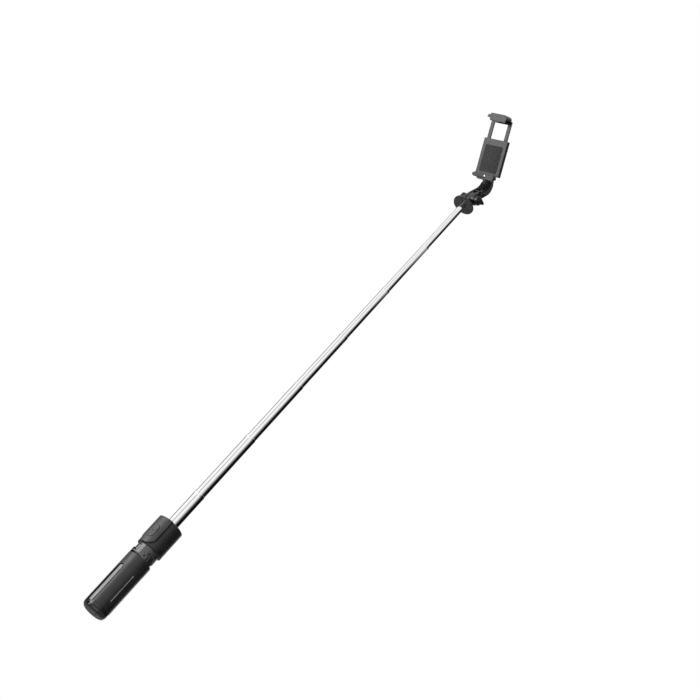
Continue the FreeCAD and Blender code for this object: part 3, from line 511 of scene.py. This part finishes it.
def merge(name: str, pieces: list[bpy.types.Object]) -> bpy.types.Object:
    """Joins copies of a piece into one object.

    Args:
        name: the joined piece's name.
        pieces: the copies.

    Returns:
        The joined object.
    """
    deselect()
    for piece in pieces:
        piece.select_set(True)
    bpy.context.view_layer.objects.active = pieces[0]
    bpy.ops.object.join()
    pieces[0].name = pieces[0].data.name = name
    return pieces[0]


# Sub-assemblies ----------------------------------------------------------------------------------------


@dataclass
class TelescopicPole:
    """The seven chrome sections, each but the thinnest with a rolled lip and a fine crimp ring near its top.
    """

    finishes: Finishes
    wall: float = 0.25 * MM
    lip: float = 2.5 * MM
    rolled: float = 0.3 * MM
    bore_step: float = 0.37 * MM
    crimp_depth: float = 0.07 * MM
    crimp_rise: float = 3.4 * MM
    crimp_half: float = 0.45 * MM
    segments: int = 96
    edge: float = 0.05 * MM

    def profile(self, outer: float, low: float, high: float, last: bool) -> list[tuple[float, float]]:
        """The closed profile of one section.

        Args:
            outer: the section's radius.
            low: the height of its foot.
            high: the height of its top.
            last: True for the thinnest section, which has no lip.

        Returns:
            The (radius, height) stations, starting inside the foot.
        """
        inner = outer - self.wall
        stations = [(inner, low), (outer - self.edge, low), (outer, low + self.edge)]
        if last:
            return stations + [(outer, high - self.edge), (outer - self.edge, high), (inner, high)]
        ring, pressed, flat = high - self.crimp_rise, outer - self.crimp_depth, 0.3 * self.crimp_half
        stations += [(outer, ring - self.crimp_half), (pressed, ring - flat),
                     (pressed, ring + flat), (outer, ring + self.crimp_half)]
        stations += rounded(outer, high, self.rolled)
        bore = outer - self.bore_step
        return stations + [(bore + 0.4 * self.edge, high), (bore, high - self.edge), (bore, high - self.lip),
                           (inner, high - self.lip)]

    def build(self) -> None:
        """Models the sections in the places of the CAD tubes."""
        names = sorted(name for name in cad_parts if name.startswith("tube_"))
        for name in names:
            low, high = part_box(name)
            outer = (high.x - low.x) / 2.0
            stations = self.profile(outer, low.z, high.z, name == names[-1])
            piece = lathe(name.replace("tube", "pole_section"), stations, self.segments, closed=True)
            settle(piece, Matrix.Identity(4))
            self.finishes.dress(piece, "pole_chrome")
            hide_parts(name)
            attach(piece, name)
            log.info("%s modelled, radius %.2f mm", piece.name, outer / MM)


@dataclass
class ScrewSet:
    """Small cross-head screws: a domed head with a cross recess on a plain shank."""

    finishes: Finishes
    name: str
    node: str
    body: str
    places: list[Matrix]
    head_radius: float
    head_height: float
    shank_radius: float
    length: float
    cross_width: float = 0.42 * MM
    # The head's dome, as shares of its radius and of its height below its top.
    dome: tuple[tuple[float, float], ...] = ((1.0, 0.45), (0.86, 0.16), (0.55, 0.02), (0.2, 0.0))
    # The tip's radius and length, and the cross's reach, as shares of the shank's and the head's radius.
    tip_radius: float = 0.5
    tip_length: float = 0.6
    cross_reach: float = 0.62
    cross_depth: float = 1.1

    def screw(self) -> bpy.types.Object:
        """Models one screw with its head's top at the bench's origin and its shank down -Z."""
        foot, shank = -self.length, self.shank_radius
        stations = [(shank * self.tip_radius, foot), (shank, foot + shank * self.tip_length),
                    (shank, -self.head_height), (self.head_radius, -self.head_height)]
        stations += [(self.head_radius * wide, -self.head_height * deep) for wide, deep in self.dome]
        piece = lathe(self.name, stations, 40)
        for turn in (0.0, 90.0):
            deselect()
            reach = self.head_radius * self.cross_reach
            bpy.ops.mesh.primitive_cube_add(size=1.0, location=(0.0, 0.0, 0.0))
            cutter = bpy.context.object
            begin_edit()
            depth = self.head_height * self.cross_depth
            bpy.ops.transform.resize(value=(2.0 * reach, self.cross_width, depth))
            bpy.ops.transform.rotate(value=math.radians(turn), orient_axis="Z",
                                     center_override=(0.0, 0.0, 0.0))
            end_edit()
            apply_modifier(piece, "BOOLEAN", operation="DIFFERENCE", object=cutter, solver="EXACT")
            bpy.data.objects.remove(cutter)
        return piece

    def build(self) -> None:
        """Models one screw and copies it to every place."""
        first = self.screw()
        copies = []
        for number, place in enumerate(self.places):
            copy = first.copy()
            copy.data = first.data.copy()
            bpy.context.scene.collection.objects.link(copy)
            settle(copy, place)
            copies.append(copy)
        bpy.data.objects.remove(first)
        piece = merge(self.name, copies)
        self.finishes.dress(piece, "hardware_steel")
        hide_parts(self.node)
        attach(piece, self.body)
        log.info("%s modelled, %d screws", self.name, len(self.places))


@dataclass
class ClampTrim:
    """The clamp's ribbed rubber pads, its swivel rivet and the screws in its cover."""

    finishes: Finishes
    rib_height: float = 0.35 * MM
    rib_pitch: float = 1.5 * MM
    pad_edge: float = 0.1 * MM
    tilt: float = 45.0
    cover_head_radius: float = 1.3 * MM
    cover_head_height: float = 0.6 * MM
    cover_shank_radius: float = 0.7 * MM
    cover_cross_width: float = 0.36 * MM
    rivet_foot_share: float = 0.8
    rivet_foot_height: float = 0.9 * MM
    rivet_shank_share: float = 0.5
    rivet_head_height: float = 1.35 * MM
    rivet_rim_drop: float = 0.7 * MM
    rivet_dome_drop: float = 0.1 * MM
    rivet_corner: float = 0.6 * MM
    # The turned face of the rivet's head: a share of its radius, and millimetres below its top.
    rivet_face: tuple[tuple[float, float], ...] = (
        (0.72, 0.03), (0.66, 0.16), (0.60, 0.03), (0.3, 0.0), (0.16, 0.05), (0.04, 0.28))

    def __post_init__(self) -> None:
        """Works out the clamp's directions: x, back (square to the phone) and up (along it)."""
        turn = math.radians(self.tilt)
        self.back = Vector((0.0, math.cos(turn), math.sin(turn)))
        self.up = Vector((0.0, -math.sin(turn), math.cos(turn)))

    def place(self, x: float, back: float, up: float, face: Vector, along: Vector) -> Matrix:
        """The matrix of a bench at a point of the clamp.

        Args:
            x: reach along X.
            back: reach along back.
            up: reach along up.
            face: the direction of the bench's Z.
            along: the direction of the bench's X.

        Returns:
            The matrix from the bench to the row frame.
        """
        centre = Vector((x, 0.0, 0.0)) + self.back * back + self.up * up
        side = face.cross(along)
        turn = Matrix((along, side, face)).transposed().to_4x4()
        return Matrix.Translation(centre) @ turn

    def pad(self, node: str, body: str, face: Vector) -> None:
        """Models a ribbed pad in the place of a plain one.

        Args:
            node: the CAD pad.
            body: the body it rides on.
            face: the direction its ribs look in.
        """
        low_x, high_x = extent(node, Vector((1.0, 0.0, 0.0)))
        across = face.cross(Vector((1.0, 0.0, 0.0)))
        low_a, high_a = extent(node, across)
        low_f, high_f = extent(node, face)
        width, depth, thick = high_x - low_x, high_a - low_a, high_f - low_f
        ribs = max(3, round(depth / self.rib_pitch))
        deselect()
        bpy.ops.mesh.primitive_grid_add(x_subdivisions=1, y_subdivisions=2 * ribs - 1, size=1.0)
        piece = bpy.context.object
        piece.name = piece.data.name = node + "_ribbed"
        begin_edit()
        bpy.ops.transform.resize(value=(width, depth, 1.0))
        step = depth / (2 * ribs - 1)
        select_faces(piece, lambda one: round((one.calc_center_median().y + depth / 2) / step - 0.5) % 2 == 0)
        bpy.ops.mesh.extrude_region_move(TRANSFORM_OT_translate={"value": (0.0, 0.0, self.rib_height)})
        bpy.ops.mesh.select_all(action="SELECT")
        bpy.ops.mesh.normals_make_consistent(inside=False)
        end_edit()
        apply_modifier(piece, "SOLIDIFY", thickness=thick - self.rib_height, offset=-1.0)
        apply_modifier(piece, "BEVEL", width=self.pad_edge, segments=2, limit_method="ANGLE",
                       angle_limit=math.radians(40.0))
        mid_x, mid_a = (low_x + high_x) / 2, (low_a + high_a) / 2
        side = Vector((1.0, 0.0, 0.0))
        centre = side * mid_x + across * mid_a + face * (high_f - self.rib_height)
        place = Matrix.Translation(centre) @ Matrix((side, across, face)).transposed().to_4x4()
        settle(piece, place)
        self.finishes.dress(piece, "pad_rubber")
        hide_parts(node)
        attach(piece, body)
        log.info("%s modelled, %d ribs", piece.name, ribs)

    def rivet(self) -> None:
        """Models the swivel rivet with its turned dome, a ring groove and a centre mark."""
        low, high = extent("swivel_rivet", self.back)
        low_x, high_x = extent("swivel_rivet", Vector((1.0, 0.0, 0.0)))
        low_up, high_up = extent("swivel_rivet", self.up)
        radius, centre_up = (high_x - low_x) / 2, (low_up + high_up) / 2
        top, shank, foot = high - low, self.rivet_shank_share * radius, self.rivet_foot_share * radius
        stations = [(foot, 0.0), (foot, self.rivet_foot_height), (shank, self.rivet_foot_height),
                    (shank, top - self.rivet_head_height), (radius, top - self.rivet_head_height),
                    (radius, top - self.rivet_rim_drop)]
        stations += rounded(radius, top - self.rivet_dome_drop, self.rivet_corner)[1:]
        stations += [(share * radius, top - drop * MM) for share, drop in self.rivet_face]
        piece = lathe("swivel_rivet_turned", stations, 72)
        place = self.place(0.0, low, centre_up, self.back, Vector((1.0, 0.0, 0.0)))
        settle(piece, place)
        self.finishes.dress(piece, "hardware_steel")
        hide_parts("swivel_rivet")
        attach(piece, "clamp")
        log.info("%s modelled", piece.name)

    def screws(self) -> None:
        """Puts four cross-head screws into the cover."""
        radius = self.cover_head_radius
        low_x, high_x = extent("cover_screws", Vector((1.0, 0.0, 0.0)))
        low_up, high_up = extent("cover_screws", self.up)
        foot, top = extent("cover_screws", self.back)
        places = [self.place(x, top, up, self.back, Vector((1.0, 0.0, 0.0)))
                  for x in (low_x + radius, high_x - radius) for up in (low_up + radius, high_up - radius)]
        ScrewSet(self.finishes, "cover_cross_screws", "cover_screws", "clamp", places, radius,
                 self.cover_head_height, self.cover_shank_radius, top - foot, self.cover_cross_width).build()

    def build(self) -> None:
        """Models every piece of the trim."""
        self.pad("lower_pad", "clamp", self.up)
        self.pad("upper_pad", "upper_jaw", -self.up)
        self.pad("back_pad", "clamp", -self.back)
        self.rivet()
        self.screws()


@dataclass
class HandleTrim:
    """The strip on the front leg and the screws that hold the collar's halves."""

    finishes: Finishes
    strip_edge: float = 0.22 * MM
    strip_columns: int = 12
    strip_rows: int = 40
    collar_head_radius: float = 1.7 * MM
    collar_head_height: float = 1.2 * MM
    collar_shank_radius: float = 0.9 * MM

    def strip(self) -> None:
        """Models the strip: a slot-shaped sheet with a round upper end, bent to the leg and softened."""
        low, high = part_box("leg_1_grip_strip")
        half, middle = (high.x - low.x) / 2, (high.x + low.x) / 2
        outer = -low.y
        thick = outer - math.hypot(high.y, max(abs(low.x), abs(high.x)))
        deselect()
        bpy.ops.mesh.primitive_grid_add(x_subdivisions=self.strip_columns, y_subdivisions=self.strip_rows,
                                        size=1.0)
        piece = bpy.context.object
        piece.name = piece.data.name = "leg_1_soft_strip"
        begin_edit()
        length = high.z - low.z
        bpy.ops.transform.resize(value=(2 * half, length, 1.0))
        end_edit()
        crown = length / 2 - half
        for vertex in piece.data.vertices:
            x, along = vertex.co.x, vertex.co.y
            reach = math.sqrt(max(half ** 2 - x ** 2, 0.0))
            share = (along + length / 2) / length
            top = crown + reach
            vertex.co = Vector((x + middle, 0.0, low.z + share * (top + length / 2)))
            vertex.co.y = -math.sqrt(outer ** 2 - vertex.co.x ** 2)
        apply_modifier(piece, "SOLIDIFY", thickness=thick, offset=-1.0)
        apply_modifier(piece, "BEVEL", width=self.strip_edge, segments=3, limit_method="ANGLE",
                       angle_limit=math.radians(50.0))
        settle(piece, Matrix.Identity(4))
        self.finishes.dress(piece, "strip_grey")
        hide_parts("leg_1_grip_strip")
        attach(piece, "leg_1")
        log.info("%s modelled, %.2f mm thick", piece.name, thick / MM)

    def screws(self) -> None:
        """Puts four cross-head screws into the collar's back."""
        radius = self.collar_head_radius
        low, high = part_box("collar_screws")
        turn = Matrix.Rotation(math.radians(-90.0), 4, "X")
        places = [Matrix.Translation((x, high.y, z)) @ turn
                  for x in (low.x + radius, high.x - radius) for z in (low.z + radius, high.z - radius)]
        ScrewSet(self.finishes, "collar_cross_screws", "collar_screws", "handle", places, radius,
                 self.collar_head_height, self.collar_shank_radius, high.y - low.y).build()

    def build(self) -> None:
        """Models every piece of the trim."""
        self.strip()
        self.screws()


# Studio ------------------------------------------------------------------------------------------------


@dataclass
class Studio:
    """Camera, soft lights, surroundings and floor."""

    camera_place: tuple[float, float, float] = (0.73536, -0.86330, -0.22622)
    right: tuple[float, float, float] = (0.779916, 0.224605, 0.584195)
    up: tuple[float, float, float] = (-0.284647, -0.703988, 0.650674)
    ahead: tuple[float, float, float] = (-0.557411, 0.673760, 0.485119)
    lens: float = 59.143
    sensor: float = 36.0
    shift: float = 0.0007
    floor_height: float = -0.30
    floor_size: float = 24.0
    # The compass of the walls: the level direction of 0 degrees and the one of 90 degrees.
    wall_ahead: tuple[float, float, float] = (0.648, -0.762, 0.0)
    wall_right: tuple[float, float, float] = (0.762, 0.648, 0.0)
    # The walls lean: their edges stand at the stated degrees at one rise and turn with the rise from there.
    lean_rise: float = 0.33
    lean_rate: float = 0.45
    # Above and below, the walls fade into an even light between these two steepnesses.
    ceiling_start: float = 0.62
    ceiling_full: float = 0.9
    ceiling_value: float = 0.95
    # Brightness round the horizon: (degrees to the right of the camera's side, value).
    horizon: tuple[tuple[float, float], ...] = (
        (-180, 1.05), (-152, 1.0), (-143, 0.14), (-118, 0.45), (-106, 1.05), (-56, 1.05), (-48, 0.42),
        (-40, 0.42), (-32, 1.02), (-8, 1.02), (8, 0.86), (20, 0.62), (32, 0.32), (44, 0.11), (56, 0.03),
        (66, 0.004), (134, 0.004), (143, 0.95), (180, 1.05))
    # Soft lights: name, place, the point looked at, side in metres, power in watts.
    softboxes: tuple[tuple, ...] = (
        ("left_softbox", (-0.75, -1.15, 0.15), (0.0, 0.0, 0.2), 0.9, 15.0),
        ("back_softbox", (-0.25, 1.0, 0.05), (0.0, 0.0, 0.06), 0.5, 2.0),
        ("end_softbox", (0.10, -0.15, -0.28), (0.0, 0.0, 0.0), 0.3, 0.4))

    def camera(self) -> None:
        """Makes the camera."""
        data = bpy.data.cameras.new("camera")
        data.lens, data.sensor_width = self.lens, self.sensor
        data.shift_x, data.shift_y = -self.shift, self.shift
        data.clip_start, data.clip_end = 0.01, 60.0
        camera = bpy.data.objects.new("camera", data)
        bpy.context.scene.collection.objects.link(camera)
        turn = Matrix((self.right, self.up, [-part for part in self.ahead])).transposed().to_4x4()
        camera.matrix_world = Matrix.Translation(self.camera_place) @ turn
        bpy.context.scene.camera = camera

    def surroundings(self) -> None:
        """Makes the studio's walls: white behind the object, with dark flags that show in polished metal."""
        world = bpy.data.worlds.new("studio")
        bpy.context.scene.world = world
        world.use_nodes = True
        tree = world.node_tree
        tree.nodes.clear()
        side = Vector(self.wall_ahead).normalized()
        rightward = Vector(self.wall_right).normalized()
        direction = tree.nodes.new("ShaderNodeTexCoord").outputs["Generated"]

        def along(vector: Vector) -> bpy.types.NodeSocket:
            """The direction's reach along a vector."""
            node = tree.nodes.new("ShaderNodeVectorMath")
            node.operation = "DOT_PRODUCT"
            node.inputs[1].default_value = vector
            tree.links.new(direction, node.inputs[0])
            return node.outputs["Value"]

        def math_node(kind: str, *operands: bpy.types.NodeSocket | float) -> bpy.types.NodeSocket:
            """A Math node on up to three sockets or numbers."""
            node = tree.nodes.new("ShaderNodeMath")
            node.operation = kind
            for socket, value in zip(node.inputs, operands):
                if isinstance(value, bpy.types.NodeSocket):
                    tree.links.new(value, socket)
                else:
                    socket.default_value = value
            return node.outputs[0]

        rise = along(Vector((0.0, 0.0, 1.0)))
        turn = math_node("ARCTAN2", along(rightward), along(side))
        lean = math_node("MULTIPLY", math_node("SUBTRACT", rise, self.lean_rise), self.lean_rate)
        turn = math_node("SUBTRACT", turn, lean)
        ramp = tree.nodes.new("ShaderNodeValToRGB")
        tree.links.new(math_node("MULTIPLY_ADD", turn, 1.0 / (2.0 * math.pi), 0.5), ramp.inputs["Fac"])
        stops = ramp.color_ramp.elements
        stops[0].position, stops[1].position = 0.0, 1.0
        for degrees, _ in self.horizon[1:-1]:
            stops.new(degrees / 360.0 + 0.5)
        for stop, (_, value) in zip(stops, self.horizon):
            stop.color = (value, value, value, 1.0)
        lift = tree.nodes.new("ShaderNodeMapRange")
        lift.inputs["From Min"].default_value = self.ceiling_start
        lift.inputs["From Max"].default_value = self.ceiling_full
        tree.links.new(math_node("ABSOLUTE", rise), lift.inputs["Value"])
        walls = tree.nodes.new("ShaderNodeMix")
        walls.data_type = "RGBA"
        tree.links.new(lift.outputs["Result"], walls.inputs["Factor"])
        tree.links.new(ramp.outputs["Color"], walls.inputs["A"])
        walls.inputs["B"].default_value = (*[self.ceiling_value] * 3, 1.0)
        seen = tree.nodes.new("ShaderNodeMix")
        seen.data_type = "RGBA"
        tree.links.new(tree.nodes.new("ShaderNodeLightPath").outputs["Is Camera Ray"], seen.inputs["Factor"])
        tree.links.new(walls.outputs["Result"], seen.inputs["A"])
        seen.inputs["B"].default_value = (1.0, 1.0, 1.0, 1.0)
        background = tree.nodes.new("ShaderNodeBackground")
        tree.links.new(seen.outputs["Result"], background.inputs["Color"])
        output = tree.nodes.new("ShaderNodeOutputWorld")
        tree.links.new(background.outputs["Background"], output.inputs["Surface"])

    def softbox(self, name: str, place: tuple[float, float, float], aim: tuple[float, float, float],
                size: float, power: float) -> None:
        """Makes a square soft light.

        Args:
            name: the light's name.
            place: its place in metres.
            aim: the point it looks at.
            size: its side in metres.
            power: its power in watts.
        """
        data = bpy.data.lights.new(name, "AREA")
        data.shape, data.size, data.energy = "SQUARE", size, power
        light = bpy.data.objects.new(name, data)
        bpy.context.scene.collection.objects.link(light)
        light.location = place
        light.rotation_euler = (Vector(aim) - Vector(place)).to_track_quat("-Z", "Y").to_euler()
        light.visible_camera = False

    def floor(self) -> None:
        """Makes the grey floor."""
        deselect()
        bpy.ops.mesh.primitive_plane_add(size=self.floor_size, location=(0.0, 0.0, self.floor_height))
        plane = bpy.context.object
        plane.name = plane.data.name = "floor"
        graph = Graph("grey_floor")
        graph.link(graph.blend(graph.span(graph.noise(0.6, 3.0), 0.0, 1.0), (0.34, 0.34, 0.34),
                               (0.32, 0.32, 0.325)), graph.shader.inputs["Base Color"])
        graph.set("Roughness", 0.85)
        plane.data.materials.append(graph.material)

    def build(self) -> None:
        """Sets up the studio."""
        self.camera()
        self.surroundings()
        self.floor()
        for softbox in self.softboxes:
            self.softbox(*softbox)
        bpy.context.scene.view_settings.view_transform = "Standard"
        log.info("studio ready")


def main() -> None:
    """Builds every sub-assembly in order."""
    logging.basicConfig(level=logging.INFO, format="%(message)s")
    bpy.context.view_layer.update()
    studio = Studio()
    studio.build()
    finishes = Finishes()
    finishes.dress_nodes()
    TelescopicPole(finishes).build()
    HandleTrim(finishes).build()
    ClampTrim(finishes).build()


if __name__ == "__main__":
    main()
